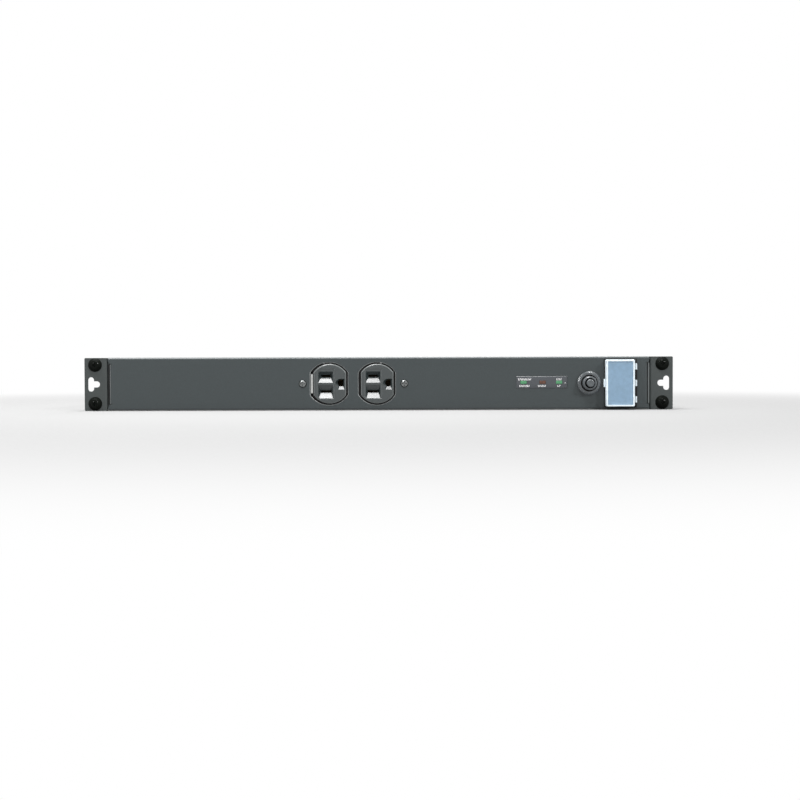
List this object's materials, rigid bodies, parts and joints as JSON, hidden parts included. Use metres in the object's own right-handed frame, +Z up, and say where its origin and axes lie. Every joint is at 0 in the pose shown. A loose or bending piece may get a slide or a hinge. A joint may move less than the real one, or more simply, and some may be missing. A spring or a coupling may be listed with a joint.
{
  "type": "surge protector power strip",
  "caption": "Rack-mount surge protector: folded steel case with rack ears, receptacles front and rear, reset breaker, indicator window and a switch under a hinged cover.",
  "frame": {"origin": "centre of the rack screw pattern, on the plane of the ears' back faces", "axes": "+X to the right seen from the front, +Y to the rear along the rack screws, +Z up"},
  "size_m": [0.4826, 0.1281, 0.0436],
  "materials": {
    "case_paint": "fine-grained satin paint",
    "ear_paint": "fine-grained satin paint",
    "black_steel": "black oxide",
    "bright_steel": "bright",
    "outlet_plastic": "glossy",
    "base_plastic": "matt",
    "zinc_steel": "zinc plated",
    "contact_brass": "plain",
    "window_plastic": "smoked",
    "green_led": "clear tinted",
    "red_led": "clear tinted",
    "board_laminate": "solder mask",
    "black_plastic": "satin",
    "frosted_plastic": "frosted, see-through",
    "varistor_coat": "epoxy coat",
    "capacitor_case": "moulded",
    "ferrite": "matt",
    "enamelled_copper": "glossy",
    "fuse_case": "matt",
    "black_wire": "insulated",
    "white_wire": "insulated",
    "green_wire": "insulated"
  },
  "bodies": {
    "chassis": {"front_shell": "case_paint", "rear_shell": "case_paint", "side_walls": "case_paint", "right_rack_ear": "ear_paint", "left_rack_ear": "ear_paint", "rack_screws": "black_steel", "ear_screws": "black_steel", "case_screws": "black_steel", "front_outlet_face": "outlet_plastic", "front_outlet_base": "base_plastic", "front_outlet_strap": "zinc_steel", "front_outlet_contacts": "contact_brass", "front_outlet_screws": "bright_steel", "indicator_window": "window_plastic", "indicator_board": "board_laminate", "breaker_body": "black_plastic", "breaker_nut": "black_plastic", "breaker_terminals": "contact_brass", "switch_body": "black_plastic", "switch_terminals": "contact_brass", "cover_base": "black_plastic", "cover_hinge_pin": "bright_steel", "cord_gland": "black_plastic", "gland_nut": "black_plastic", "filter_board": "board_laminate", "board_standoffs": "contact_brass", "board_screws": "bright_steel", "varistors": "varistor_coat", "filter_capacitors": "capacitor_case", "choke_core": "ferrite", "choke_winding": "enamelled_copper", "thermal_fuse": "fuse_case", "terminal_block": "base_plastic", "line_bus": "black_wire", "neutral_bus": "white_wire", "ground_bus": "green_wire", "ground_stud": "bright_steel", "breaker_lead": "black_wire", "switch_lead": "black_wire", "ground_lead": "green_wire", "protection_led": "green_led", "fault_led": "red_led", "line_led": "green_led", "rear_outlet_face_1": "outlet_plastic", "rear_outlet_base_1": "base_plastic", "rear_outlet_strap_1": "zinc_steel", "rear_outlet_face_2": "outlet_plastic", "rear_outlet_base_2": "base_plastic", "rear_outlet_strap_2": "zinc_steel", "rear_outlet_face_3": "outlet_plastic", "rear_outlet_base_3": "base_plastic", "rear_outlet_strap_3": "zinc_steel", "rear_outlet_face_4": "outlet_plastic", "rear_outlet_base_4": "base_plastic", "rear_outlet_strap_4": "zinc_steel", "rear_outlet_contacts": "contact_brass", "rear_outlet_screws": "bright_steel"},
    "cover": {"switch_cover": "frosted_plastic"},
    "rocker": {"switch_rocker": "black_plastic"},
    "button": {"breaker_button": "black_plastic"}
  },
  "joints": [
    {"name": "cover_hinge", "type": "hinge", "parent": "chassis", "child": "cover", "pos_m": [0.2102, -0.0059, 0], "axis": [0, 0, 1], "range_deg": [0, 115]},
    {"name": "rocker_tilt", "type": "hinge", "parent": "chassis", "child": "rocker", "pos_m": [0.19705, -0.0025, 0], "axis": [1, 0, 0], "range_deg": [0, 16]},
    {"name": "breaker_trip", "type": "slide", "parent": "chassis", "child": "button", "axis": [0, -1, 0], "range_m": [0, 0.004]}
  ]
}
